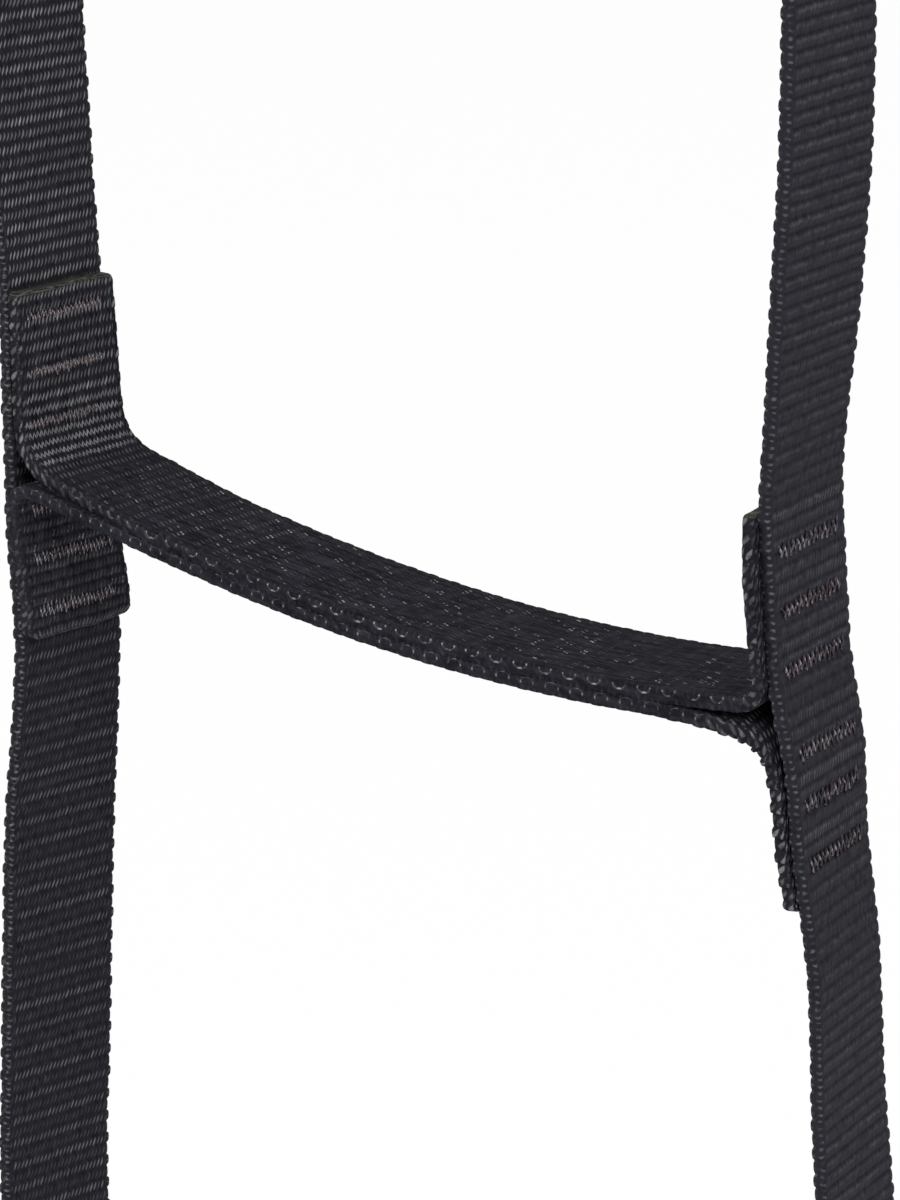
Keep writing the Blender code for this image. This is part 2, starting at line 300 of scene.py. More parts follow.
def outline(blunt):
    """What changes round a strap, from column to column: face, selvage, other face and selvage.

    These are the places across it, how far the selvages bulge out, how high each face stands, the
    ridges of the yarns, how far they lean, what stitching can press down, and the U.
    """
    edge_turn = np.pi * np.arange(1, selvage_columns) / selvage_columns
    flat_half = half_width - selvage_depth
    on_face = np.linspace(-flat_half, flat_half, face_columns + 1)
    across = np.concatenate(
        [on_face, np.full(selvage_columns - 1, flat_half), -on_face,
         np.full(selvage_columns - 1, -flat_half), on_face[:1]]
    )
    blunt_out = np.sin(edge_turn) ** blunt
    blunt_up = np.sign(np.cos(edge_turn)) * np.abs(np.cos(edge_turn)) ** blunt
    bulge = np.concatenate(
        [np.zeros(face_columns + 1), blunt_out, np.zeros(face_columns + 1), -blunt_out, [0.0]]
    )
    rise = np.concatenate(
        [np.ones(face_columns + 1), blunt_up, -np.ones(face_columns + 1), -blunt_up, [1.0]]
    )
    index_on_face = np.arange(face_columns + 1)
    from_edge = np.minimum(index_on_face, index_on_face[::-1])
    ridge = np.where(index_on_face % 2 == 0, 1.0, -1.0)
    ridge[[0, -1]] = 0.0
    lean = np.minimum(1.0, from_edge / 3)
    inner = from_edge > 4
    none = np.zeros(selvage_columns - 1)
    ridges = np.concatenate([ridge, none, ridge, none, [0.0]])
    leans = np.concatenate([lean, none, -lean, none, [0.0]])
    inners = np.concatenate([inner, none, inner, none, [0.0]])
    u = np.concatenate(
        [index_on_face / 2,
         yarn_columns + selvage_units * np.arange(1, selvage_columns) / selvage_columns]
    )
    u = np.concatenate([u, u + yarn_columns + selvage_units])
    u = np.append(u, 2 * (yarn_columns + selvage_units))
    return across, bulge, rise, ridges, leans, inners, u


def webbing(
    name, course, first, last, ends, pressed, painted_sheen, ribbing,
    hems=((0.0, 1.0),), lie=None, corners=(0, 0), evenness=((0.0, 0.0),),
    pitches=((0.0, rib_pitch),), blunt=0.54, melts=(melted_length, melted_length),
):
    """Webbing along a course, from one distance to another, as a closed piece.

    ends says how each end finishes: a seam that meets the next piece, a hot cut, or a round end
    on a pivot. pressed holds the distances at which stitching draws the webbing thin, and ribbing
    is the depth of its ribs. lustre, evenness, hems and pitches are tables by distance: how strong
    the highlights painted on its yarns are, how alike its rows of yarns are, from 0 where every
    second is dull to 1, how far its selvages are scalloped, and how far apart its ribs are. Even
    rows also get painted highlights on their rib crests and beside the stitches, and painted shade
    in their grooves. lie gives, by distance too, how much wider than stock it lies on each side,
    its push along Y, and how far its front edge curls away towards its first face. corners is how
    far each cut end is rounded and melts how far it is melted. blunt is how round the selvages
    are, from 0 for square ones to 1 for half circles.
    """
    # Rings of points: four for each rib, and closer ones at the ends
    fine = np.linspace(0, course.length, course_samples)
    passed = np.cumsum(np.diff(fine) / np.interp(fine[1:], *zip(*pitches)))
    passed = np.concatenate([[0], passed]) * (round(passed[-1]) / passed[-1])
    stations = {}
    start, stop = np.interp((first, last), fine, passed)
    for rib in range(math.floor(start), math.ceil(stop) + 1):
        for ring in rib_rings:
            distance = float(np.interp(rib + ring, passed, fine))
            if first - 1e-6 <= distance <= last + 1e-6:
                stations[round(distance, 7)] = 1.0
    for way, end, kind in ((1, first, ends[0]), (-1, last, ends[1])):
        shape = {"cut": cut_end, "pivot": pivot_end, "seam": ((0.0, 1.0),)}[kind]
        if kind == "cut":
            stations = {
                d: full for d, full in stations.items() if abs(d - end) >= plain_near_cut
            }
        for inset, share in shape:
            stations[round(end + way * inset, 7)] = share

    # What changes from ring to ring
    s = np.array(sorted(stations))
    share = np.array([stations[d] for d in sorted(stations)])
    v = np.interp(s, fine, passed)
    t = v - np.floor(v + 1e-4)
    row = np.floor(v + 1e-4).astype(int)
    shine, even, scallop = (np.interp(s, *zip(*table)) for table in (painted_sheen, evenness, hems))
    # The painted highlights grow beside each row of stitches, where the rows are even
    for at in pressed:
        beside = (at - s - highlight_beside) / highlight_reach
        shine = shine + highlight_gain * even * np.exp(-(beside**2))
    from_cut = np.full(len(s), 1.0)
    for end, kind in ((first, ends[0]), (last, ends[1])):
        if kind == "cut":
            from_cut = np.minimum(from_cut, np.abs(s - end))
    molten = np.where(s - first < last - s, *melts)
    woven = np.clip((from_cut - molten * 0.7) / weave_returns, 0, 1)
    melt = np.clip(1 - (from_cut - molten * 0.25) / (molten * 0.5), 0, 1)
    waver = np.exp(-((from_cut / waver_reach) ** 2))
    wider = pushed = curled = np.zeros(len(s))
    if lie:
        wider, pushed, curled = (np.interp(s, lie[0], values) for values in lie[1:])
    for end, radius in zip((first, last), corners):
        if radius:
            short = np.clip(1 - np.abs(s - end) / radius, 0, 1)
            wider = wider - radius * (1 - np.sqrt(1 - short * short))
    press = np.zeros(len(s))
    for at in pressed:
        press = np.maximum(press, np.exp(-(((s - at) / press_reach) ** 4)))
    crown = (1 - np.abs(2 * t - 1) ** rib_roundness) * woven
    crown = crown * (1 - pressed_flat * press) + 0.5 * (1 - woven)
    x, z, dx, dz = course.at(s)
    across, bulge, rise, ridges, leans, inners, u = outline(blunt)

    # The edges wander a little along the webbing, and the cut ends waver across it
    wander = np.array(
        [noise.noise(Vector((d * 28.0, len(name) * 1.7, course.length * 9))) for d in s]
    )
    wander += 0.5 * np.array(
        [noise.noise(Vector((d * 190.0, len(name) * 2.9, course.length * 5))) for d in s]
    )
    frayed = np.array(
        [noise.noise(Vector((y * 150.0, len(name), course.length * 7))) for y in across]
    )

    def place(columns, rings):
        cross = crown[rings]
        parity = np.where(row[rings] % 2 == 0, 1.0, -1.0)
        height = crown_thickness - ribbing * (1 + 0.6 * even[rings]) * (1 - cross)
        raised = (ridges[columns] * parity - 0.2) * (ridges[columns] != 0) * (1 - even[rings])
        height += yarn_height * raised * cross
        height -= press_depth * press[rings] * inners[columns]
        height *= share[rings]
        bump = np.sqrt(np.clip(1 - np.abs(2 * t[rings] - 1) ** 3, 0, 1)) * woven[rings]
        weight = 1 - selvage_alternate * (parity < 0)
        depth = selvage_depth - selvage_scallop * scallop[rings] * (1 - bump * weight)
        slant = yarn_slant * np.sin(2 * np.pi * (t[rings] - 0.5)) * leans[columns] * cross
        y = across[columns] * (1 + wider[rings] / half_width) + bulge[columns] * depth + slant
        y += edge_wander * wander[rings] + pushed[rings]
        near_edge = np.clip((-y - curl_start) / (half_width - curl_start), 0, 1.1)
        thick = rise[columns] * height + curled[rings] * near_edge**1.6
        ahead = cut_waver * waver[rings] * frayed[columns]
        points = np.column_stack(
            [
                x[rings] + dz[rings] * thick + dx[rings] * ahead,
                y,
                z[rings] - dx[rings] * thick + dz[rings] * ahead,
            ]
        )
        return turned(points)

    marks = {"melted": melt, "painted_sheen": shine, "evenness": even}
    return wrapped(name, strap_columns, len(s) - 1, place, (u, v), marks)


# The whole course of the rail webbing: left rail from its foot, over the eye, right rail. It is
# eased where the rails meet the doubled legs of the eye
ease_reach, ease_sweeps = 11, 60
side_levels = np.linspace(rail_foot, head_axis, 1000)
leg = np.array([[-layer_offset, z] for z in np.linspace(head_axis + 0.001, -eye_height, 38)])
share = np.linspace(0, 1, 36)[1:]
opening = share * share * (3 - 2 * share)
spread_leg = np.column_stack(
    [
        -(layer_offset + (eye_radius - layer_offset) * opening),
        -eye_height + (eye_height - eye_inside) * share,
    ]
)
arc_angles = np.linspace(np.pi, np.pi / 2, 25)[1:]
arc = np.column_stack(
    [eye_radius * np.cos(arc_angles), eye_radius * np.sin(arc_angles) - eye_inside]
)
left_half = np.concatenate([rail_points(-1, side_levels), leg, spread_leg, arc])
right_half = np.concatenate([rail_points(1, side_levels), leg * (-1, 1), spread_leg * (-1, 1)])
right_half = np.concatenate([right_half, (arc * (-1, 1))[:-1]])
whole = np.concatenate([left_half, right_half[::-1]])
for kink in (len(side_levels), len(whole) - len(side_levels)):
    near = slice(kink - ease_reach, kink + ease_reach + 1)
    for _ in range(ease_sweeps):
        eased = whole[near].copy()
        eased[1:-1] = (eased[:-2] + eased[1:-1] + eased[2:]) / 3
        whole[near] = eased
rail_course = Course(whole)
rail_rib = rail_course.length / round(rail_course.length / rib_pitch)


def rail_distance(side, level):
    """How far along the rail webbing a height on the left or right rail is."""
    return rail_course.nearest(rail_points(side, np.array([level]))[0])


def seam_at(side, level):
    """The groove between two ribs that is nearest to a height, where one piece meets the next."""
    return round(rail_distance(side, level) / rail_rib) * rail_rib


# The bar tacks' heights, where the real stitching strays a little from the model's even rows
rail_sides = (("left", -1), ("right", 1))
layer_ways = {"upper": 1, "lower": -1}
step_tacks = [
    (number, word, side, layer, tack)
    for number in (1, 2, 3) for word, side in rail_sides
    for layer in layer_ways for tack in (1, 2, 3)
]
tack_strays = {
    ("upper", -1): (0.0007, 0.0007, 0.0016), ("upper", 1): (-0.0014, -0.0014, -0.0014),
    ("lower", -1): (0.0009, 0.0009, 0.0009), ("lower", 1): (0.0015, 0.0029, 0.0029),
}


def tack_level(number, word, side, layer, tack):
    """The height of one bar tack's row of stitches."""
    low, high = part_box(f"tack_{number}_{word}_{layer}_{tack}")
    return (low.z + high.z) / 2 + tack_strays[layer, side][tack - 1]


rail_presses = []
for number, word, side, layer, tack in step_tacks:
    level = tack_level(number, word, side, layer, tack)
    rail_presses.append(rail_distance(side, level))
for tack in (1, 2, 3):
    low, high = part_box(f"head_tack_{tack}")
    for way in (-1, 1):
        rail_presses.append(rail_course.nearest((way * layer_offset, (low.z + high.z) / 2)))


class Shade:
    """A socket in a material's nodes, so that shader maths reads as an expression."""

    def __init__(self, socket):
        self.socket = socket

    def node(self, kind, settings=(), sockets=(), output=0):
        """Adds a node of a kind, with its settings and the values or links of its sockets."""
        made = self.socket.id_data.nodes.new(kind)
        for key, value in dict(settings).items():
            setattr(made, key, value)
        for key, value in dict(sockets).items():
            if isinstance(value, Shade):
                self.socket.id_data.links.new(value.socket, made.inputs[key])
            else:
                made.inputs[key].default_value = value
        return Shade(made.outputs[output])

    def other_output(self, output):
        return Shade(self.socket.node.outputs[output])

    def joined(self, other):
        """A vector with this as its X and another value as its Y."""
        return self.node("ShaderNodeCombineXYZ", (), {0: self, 1: other})

    def clouds(self, scale=1.0, detail=2.0):
        """Smooth noise, from 0 to 1, at this vector."""
        sockets = {"Vector": self, "Scale": scale, "Detail": detail}
        return self.node("ShaderNodeTexNoise", (), sockets)

    def chances(self):
        """A random value for each whole step of this vector."""
        return self.node("ShaderNodeTexWhiteNoise", {"noise_dimensions": "2D"}, {"Vector": self})

    def maths(self, operation, *values):
        return self.node("ShaderNodeMath", {"operation": operation}, enumerate(values))

    def __add__(self, other):
        return self.maths("ADD", self, other)

    __radd__ = __add__

    def __sub__(self, other):
        return self.maths("SUBTRACT", self, other)

    def __rsub__(self, other):
        return self.maths("SUBTRACT", other, self)

    def __mul__(self, other):
        return self.maths("MULTIPLY", self, other)

    __rmul__ = __mul__

    def __pow__(self, power):
        return self.maths("POWER", self, power)

    def part(self):
        """What is left after the whole number below."""
        return self.maths("FRACT", self)

    def whole(self):
        return self.maths("FLOOR", self)

    def away(self, centre):
        return self.maths("ABSOLUTE", self - centre)

    def larger(self, other):
        return self.maths("MAXIMUM", self, other)

    def rising(self, start, end):
        """0 below start, 1 above end and a smooth step between, or the other way round."""
        falling = start > end
        low, high = min(start, end), max(start, end)
        step = self.node(
            "ShaderNodeMapRange",
            {"interpolation_type": "SMOOTHSTEP"},
            {"Value": self, "From Min": low, "From Max": high},
        )
        return 1 - step if falling else step

    def mixed(self, first, second):
        """Two colours mixed by this socket's value."""
        return self.node(
            "ShaderNodeMix", {"data_type": "RGBA"}, {0: self, 6: first, 7: second}, output=2
        )


def finish(name, roughness, specular):
    """A new material and its shader, with the values that are the same all over."""
    material = bpy.data.materials.new(name)
    material.use_nodes = True
    shader = material.node_tree.nodes["Principled BSDF"]
    shader.inputs["Specular IOR Level"].default_value = specular
    shader.inputs["Roughness"].default_value = roughness
    return material, shader


def feed(shader, name, value):
    shader.id_data.links.new(value.socket, shader.inputs[name])


def woven_places(start):
    """Yarns round a strap or thread, ribs or stitches along it, and the place on the piece."""
    uv = start.node("ShaderNodeUVMap", {"uv_map": "weave"})
    u = start.node("ShaderNodeSeparateXYZ", (), {0: uv})
    return u, u.other_output(1), start.node("ShaderNodeTexCoord", output=3)


def webbing_finish(
    name, dark, yarn, glint, specular, dots, loops, strands, ovals, streaks, shadow,
):
    """Woven nylon: slanted yarns in rows on the ribs, looped selvages, melted ends.

    dots is how strongly single yarns glint by themselves. loops gives how strongly the weft's
    loops at the selvages do, and how far round the edge their ends and feet lie. strands is for
    the slanted strands there, ovals for those on its corners. streaks is how fine the yarns'
    shading is across and along. shadow is where the selvages darken, towards the next layer.
    """
    material, shader = finish(name, 0.6, specular)
    start = Shade(shader.outputs[0])
    u, v, place = woven_places(start)
    # lustre is how strong the highlights painted on the yarns are
    melted, painted_sheen, even = (
        start.node("ShaderNodeAttribute", {"attribute_name": word}, output=2)
        for word in ("melted", "painted_sheen", "evenness")
    )

    half_round = yarn_columns + selvage_units
    around = (u * (1 / half_round)).part() * half_round
    rib = v.whole()
    odd = (rib * 0.5).part() * 2
    waves = (around * 0.45).joined(rib * 3.7).clouds()
    middle = v.part() + (waves - 0.5) * 0.35 - 0.5
    bent = middle * middle
    leaning = around - middle * yarn_lean + odd * (bent * 1.5 + 0.5) + 0.5
    off_centre = leaning.part().away(0.5)
    chance = (leaning.whole() + rib * 0.37).joined(rib).chances()
    other_chance = (chance * 7.31).part()
    rib_chance = start.node("ShaderNodeTexWhiteNoise", {"noise_dimensions": "1D"}, {"W": rib})
    patches = place.clouds(60.0)
    cluster = (around * 0.22).joined(rib * 5.3).clouds()
    hairs = start.node(
        "ShaderNodeTexNoise", (),
        {
            "Vector": (u * streaks[0]).joined(v * streaks[1]),
            "Scale": 1.0, "Detail": 2.0, "Roughness": 0.6,
        },
    )
    grit = place.clouds(900.0, 3.0)

    # Yarns on the flat faces: each crosses its rib as a slanted stroke with pointed ends, hooked
    # in every second row, and a few catch the light as dots. Strokes and dots are painted
    # highlights on the yarns, mixed towards the glint colour
    edge = around.away(yarn_columns / 2)
    on_face = edge.rising(yarn_columns / 2 - 0.1, yarn_columns / 2 - 0.5)
    thin = painted_sheen.rising(0.95, 1.25) * 0.6 + 1
    stroke = off_centre * thin + bent * 1.7 + other_chance * 0.10
    stroke = stroke.rising(0.36, 0.12) * (1 - even) + stroke.rising(0.60, 0.05) * even * 0.6
    row = (1 - odd * (1 - painted_sheen * 0.66) * (1 - even * 0.85)) * (rib_chance * 0.3 + 0.75)
    row_light = row * (chance * 0.5 + 0.55) * (patches * 1.2 + 0.4) * painted_sheen
    crossing = (around + middle * 1.1 + odd * 0.5).part().away(0.5)
    crossed = (crossing * thin + bent * 1.7).rising(0.28, 0.10) * painted_sheen.rising(0.95, 1.25)
    blotch = place.clouds(230.0)
    # Where rows are even: a highlight painted along each rib's crest, and shade painted in the
    # grooves between ribs
    painted_crest = (middle + 0.16).away(0).rising(0.22, 0.02) * row * even * blotch.rising(0.25, 0.60)
    painted_crest = painted_crest * (grit.rising(0.34, 0.62) * 0.8 + 0.2) * (painted_sheen * 2.2 + 0.30)
    groove = bent.rising(0.06, 0.25) * even
    strewn = middle.away(0) + other_chance * 0.5 - 0.25
    dot = off_centre.rising(0.26, 0.08) * strewn.away(0).rising(0.14, 0.04)
    dotted = (cluster + painted_sheen * 0.75).rising(0.56, 0.68) * chance.rising(0.25, 0.95)
    face_light = stroke.larger(crossed * 0.9) * row_light * (thin * 0.35 + 0.27) + painted_crest * 0.20
    quiet = painted_sheen.rising(0.40, 0.14)
    face_light = face_light + dot * (chance**9 * 0.9 + dotted * 0.7) * quiet * dots

    # Selvages: the weft turns back in a loop over every second rib. Its light is painted: where the
    # painted highlights are quiet it shows as a ring that is open on one side, where they are
    # strong as slanted strands, and on the corners as ovals
    over = (around - yarn_columns) * (1 / selvage_units)
    speck = (v * 2.0 + over * 0.8).joined(over * 2.8).clouds()
    strength, ends_at, foot_at = loops
    pair = (v * 0.5).part() - 0.5 + (waves - 0.5) * 0.08
    beside = pair.away(0) - 0.24
    to_ends, to_foot = over - ends_at, over - foot_at
    loop_ends = (beside * beside * 800 + to_ends * to_ends * 445).rising(1.5, 0.1)
    loop_foot = (pair * pair * 90 + to_foot * to_foot * 1100).rising(1.4, 0.2) * 0.8
    ring = pair * pair * 17.4 + to_ends * to_ends * (1 / (foot_at - ends_at) ** 2) - 1
    closed = (to_ends * math.copysign(1, foot_at - ends_at)).rising(-0.10, 0.02)
    ring = ring.away(0).rising(0.45, 0.05) * (closed * 0.14 + 0.03)
    loop = (loop_ends.larger(loop_foot) * speck.rising(0.36, 0.62)).larger(
        ring * speck.rising(0.34, 0.60)
    )
    loop = loop * quiet
    slanted = over * 3 - middle * 0.9 + rib_chance
    strand = (slanted.part().away(0.5) + bent * 1.6).rising(0.40, 0.16)
    strand_chance = slanted.whole().joined(rib).chances()
    strand = strand * (strand_chance * 0.9 + 0.1) * speck.rising(0.34, 0.56) * (1 - quiet * 0.8)
    bead = (v * 2 + waves * 0.8).part().away(0.5).rising(0.26, 0.08)
    corner = over.away(0.5).away(0.25).rising(0.22, 0.06) * bead * (speck.rising(0.36, 0.60) + 0.2)
    corner = corner * (1.25 - even * 0.6)
    edge_light = loop * strength + strand * strands * (painted_sheen + 0.3) + corner * ovals

    # Colour, from the body's fine shading up to the painted highlights on the yarns, and the melted
    # ends
    light = face_light * on_face + edge_light * (1 - on_face)
    shows = (1 - quiet * 0.85) * on_face
    shading = (hairs - 0.5) * 4.0 * (quiet * 0.4 + 0.6) * (1 - even * 0.6) * (on_face * 0.6 + 0.4)
    body = shading + stroke * shows * 0.15 + (grit - 0.5) * 0.8 + 0.42
    # The grooves get their painted shade here
    body = body + even * 0.36 - groove * on_face * (painted_sheen * 0.8 + 0.50)
    body = body - over.rising(*shadow[:2]) * (1 - on_face) * shadow[2]
    body = body.mixed(dark, yarn)
    shown = (light * (hairs * 0.8 + 0.6) * (1 - melted)).mixed(body, glint)
    fray = (around * 0.5).joined(v * 9.0).clouds(detail=3.0)
    sealed = fray.rising(0.38, 0.66).mixed((0.016, 0.015, 0.013, 1), (0.100, 0.095, 0.086, 1))
    feed(shader, "Base Color", melted.mixed(shown, sealed))
    feed(shader, "Roughness", 0.74 - light * 0.3 - melted * 0.2 + hairs * 0.12)
    raised = (strand * 0.5 + corner * 0.5 + loop * 0.3) * (1 - on_face)
    relief = (stroke * shows * 0.5 + raised + hairs * 0.6) * (1 - melted * 0.6)
    bump = start.node("ShaderNodeBump", (), {"Strength": 0.6, "Distance": 0.0002, "Height": relief})
    feed(shader, "Normal", bump)
    return material


rail_finish = webbing_finish(
    "rail_webbing_weave", (0.0050, 0.0047, 0.0074, 1), (0.0190, 0.0184, 0.0258, 1),
    (0.36, 0.36, 0.37, 1), 0.11, dots=0.0, loops=(0.0, 0.2, 0.4), strands=0.12, ovals=0.22,
    streaks=(1.3, 0.9), shadow=(0.40, 0.80, 0.0),
)


def by_distance(tables):
    """Turns (height, value) tables of both sides into one by distance along the rail webbing."""
    rows = [
        (rail_distance(side, max(z, rail_foot)), value)
        for side, knots in tables.items() for z, value in knots
    ]
    return sorted(rows)


rail_shine, rail_even = by_distance(rail_painted_sheen), by_distance(rail_evenness)
press_margin = 0.005


def rail_piece(name, first, last, ends, nodes):
    """A stretch of the rail webbing between two distances, which stands for these nodes."""
    presses = [at for at in rail_presses if first - press_margin < at < last + press_margin]
    piece = webbing(
        name, rail_course, first, last, ends, presses, rail_shine, rail_ribbing,
        evenness=rail_even,
    )
    piece.data.materials.append(rail_finish)
    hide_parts(*nodes)
    return piece


# Where one piece meets the next, below the sewn legs of the eye and along the rails, and the
# heights just above and below the tabs of each step
eye_reach = -0.200
left_seams = (-0.565, -0.730, -0.895)
bay_1_top, bay_1_foot, bay_2_top, bay_2_foot = -0.4428, -0.6872, -0.7728, -1.0172
flex_reach = 0.008
top_left, top_right = seam_at(-1, eye_reach), seam_at(1, eye_reach)
eye_webbing = rail_piece(
    "eye_webbing", top_left, top_right, ("seam", "seam"),
    ("head_loop", "rail_left_1", "rail_right_1"),
)
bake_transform(eye_webbing)

left_cuts = [top_left] + [seam_at(-1, z) for z in left_seams] + [0.0]
left_runs = (
    ("left_rail_step_1", "step_1", "bay_1_left", bay_1_top, ("rail_left_1", "rail_left_bay_1")),
    ("left_rail_bay_1", "bay_1_left", "step_2", bay_1_foot, ("rail_left_bay_1", "rail_left_2")),
    ("left_rail_bay_2", "step_2", "bay_2_left", bay_2_top, ("rail_left_2", "rail_left_bay_2")),
    ("left_rail_step_3", "bay_2_left", "step_3", bay_2_foot, ("rail_left_bay_2", "rail_left_3")),
)
for index, (name, above, below, hinge, nodes) in enumerate(left_runs):
    high, low = left_cuts[index], left_cuts[index + 1]
    piece = rail_piece(name, low, high, ("cut" if low == 0.0 else "seam", "seam"), nodes)
    hinge + flex_reach
    hinge - flex_reach
    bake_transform(piece)

pivot_1, pivot_2 = rail_distance(1, bay_1_foot), rail_distance(1, bay_2_foot)
right_runs = (
    ("right_rail_bay_1", top_right, pivot_1, ("seam", "pivot"),
     ("step_1", "bay_1_right", bay_1_top), ("rail_right_1", "rail_right_bay_1")),
    ("right_rail_bay_2", pivot_1, pivot_2, ("pivot", "pivot"),
     ("step_2", "bay_2_right", bay_2_top), ("rail_right_2", "rail_right_bay_2")),
)
for name, first, last, ends, (above, below, hinge), nodes in right_runs:
    piece = rail_piece(name, first, last, ends, nodes)
    hinge + flex_reach
    hinge - flex_reach
    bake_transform(piece)
foot = rail_piece(
    "right_rail_step_3", pivot_2, rail_course.length, ("pivot", "cut"), ("rail_right_3",)
)
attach(foot, "step_3")

# Treads
# Each step is two lengths of the same webbing, one on the other. The upper one's ends turn up
# and the lower one's turn down, and both lie flat on the rails' inner faces, cut hot.
tread_sag = 0.0078
sag_lean = -0.12
tread_ribbing = 0.00005
tab_lengths = {
    ("upper", -1): 0.0341, ("upper", 1): 0.0322, ("lower", -1): 0.0318, ("lower", 1): 0.0318,
}
turn_sizes = {
    ("upper", -1): (0.0072, 0.0120),
    ("upper", 1): (0.0052, 0.0080),
    ("lower", -1): (0.0058, 0.0085),
    ("lower", 1): (0.0080, 0.0115),
}
turn_handle = 0.55
tab_pull = 1.6
slope_probe = 0.001

# How each tab lies, from its cut end: (distance, wider on each side, push along Y, curled edge)
tab_lies = {
    ("upper", -1): (
        (0.0, 0.0, 0.0003, 0), (0.015, 0.0002, 0.0008, 0), (0.030, 0.0003, 0.0012, 0),
        (0.045, 0.0003, 0.0011, 0.0003), (0.070, 0, 0, 0.0004),
    ),
    ("upper", 1): (
        (0.0, 0.0, -0.0010, 0.0001), (0.004, 0.0001, -0.0016, 0.0002),
        (0.010, 0.0002, -0.0020, 0.0002), (0.022, 0.0002, -0.0016, 0.0002),
        (0.034, 0.0, -0.0006, 0.0003), (0.050, 0, 0, 0.0004),
    ),
    ("lower", -1): (
        (0.0, 0.0003, 0.0003, 0), (0.007, 0.0001, 0.0001, 0), (0.015, 0, -0.0007, 0),
        (0.027, 0, -0.0017, 0), (0.036, 0, -0.0010, 0), (0.055, 0, 0, 0),
    ),
    ("lower", 1): (
        (0.0, 0.0, -0.0006, 0.0001), (0.010, 0.0001, -0.0009, 0.0002),
        (0.018, 0.0001, -0.0008, 0.0004), (0.024, 0.0001, -0.0008, 0.0010),
        (0.030, 0, -0.0004, 0.0019), (0.036, 0, -0.0002, 0.0021), (0.045, 0, 0, 0.0008),
        (0.055, 0, 0, 0),
    ),
}
tab_corners = {
    ("upper", -1): 0.0012, ("upper", 1): 0.0006, ("lower", -1): 0.0026, ("lower", 1): 0.0009,
}
left_melts = {"upper": 0.0012, "lower": melted_length}

# The look along each strap, as (distance from the left cut end, value), and the ribs' pitch
tread_hems = {
    "upper": ((0.0, 0.5),),
    "lower": ((0.0, 0.5), (0.190, 0.5), (0.215, 1.6), (0.26, 1.8)),
}
# How strong the highlights painted on the yarns are along each strap
tread_painted_sheen = {
    "upper": (
        (0.0, 0.82), (0.018, 0.92), (0.022, 1.12), (0.034, 1.28), (0.038, 0.6), (0.042, 0.28),
        (0.066, 0.25), (0.090, 0.12), (0.17, 0.07), (0.210, 0.12), (0.220, 0.6), (0.26, 0.8),
    ),
    "lower": (
        (0.0, 0.34), (0.028, 0.22), (0.05, 0.06), (0.195, 0.06), (0.205, 0.4), (0.212, 0.8),
        (0.225, 1.0), (0.26, 0.8),
    ),
}
tread_evenness = {
    "upper": ((0.0, 0.0),), "lower": ((0.0, 0.30), (0.03, 0.30), (0.045, 0.0), (0.3, 0.0)),
}
tread_loops = {"upper": (0.80, 0.34, 0.48), "lower": (0.50, 0.46, 0.32)}
tread_shadow = {"upper": (0.40, 0.85, 0.25), "lower": (0.45, 0.05, 0.25)}
tab_pitches = {"upper": 0.00239, "lower": 0.00202}
tread_pitch = 0.00275
pitch_changes = (0.030, 0.040)
tread_offset = 0.00132


def tread_course(level, layer, way):
    """From the left tab's cut end to its turn, across with a sag, and out on the right tab."""
    centre = level + way * tread_offset
    corners = {}
    for side in (-1, 1):
        point, _, inward = rail_frame(side, centre)
        corners[side] = point[0] + inward[0] * tab_offset
    clear = corners[1] - corners[-1]

    def across(x):
        q = (x - corners[-1]) / clear
        return centre - tread_sag * 4 * q * (1 - q) * (1 + sag_lean * (1 - 2 * q))

    halves = {}
    for side in (-1, 1):
        rise, reach = turn_sizes[layer, side]
        heights = np.linspace(level + way * tab_lengths[layer, side], centre + way * rise, 40)
        tab = []
        for height in heights:
            point, upward, inward = rail_frame(side, height)
            tab.append(point + inward * tab_offset)
        start, down = tab[-1], upward * -way
        x = corners[side] - side * reach
        end = np.array([x, across(x)])
        ahead = side * slope_probe
        into = np.array([-ahead, across(x - ahead) - end[1]]) / slope_probe
        out = start + down * rise * turn_handle * tab_pull
        back = end - into * reach * turn_handle
        u = np.linspace(0, 1, 24)[1:, None]
        bend = (1 - u) ** 3 * start + 3 * u * (1 - u) ** 2 * out
        bend = bend + 3 * u**2 * (1 - u) * back + u**3 * end
        halves[side] = np.concatenate([tab, bend])
    first, last = halves[-1][-1][0], halves[1][-1][0]
    xs = np.linspace(first, last, 120)[1:-1]
    middle = np.column_stack([xs, across(xs)])
    return Course(np.concatenate([halves[-1], middle, halves[1][::-1]]))


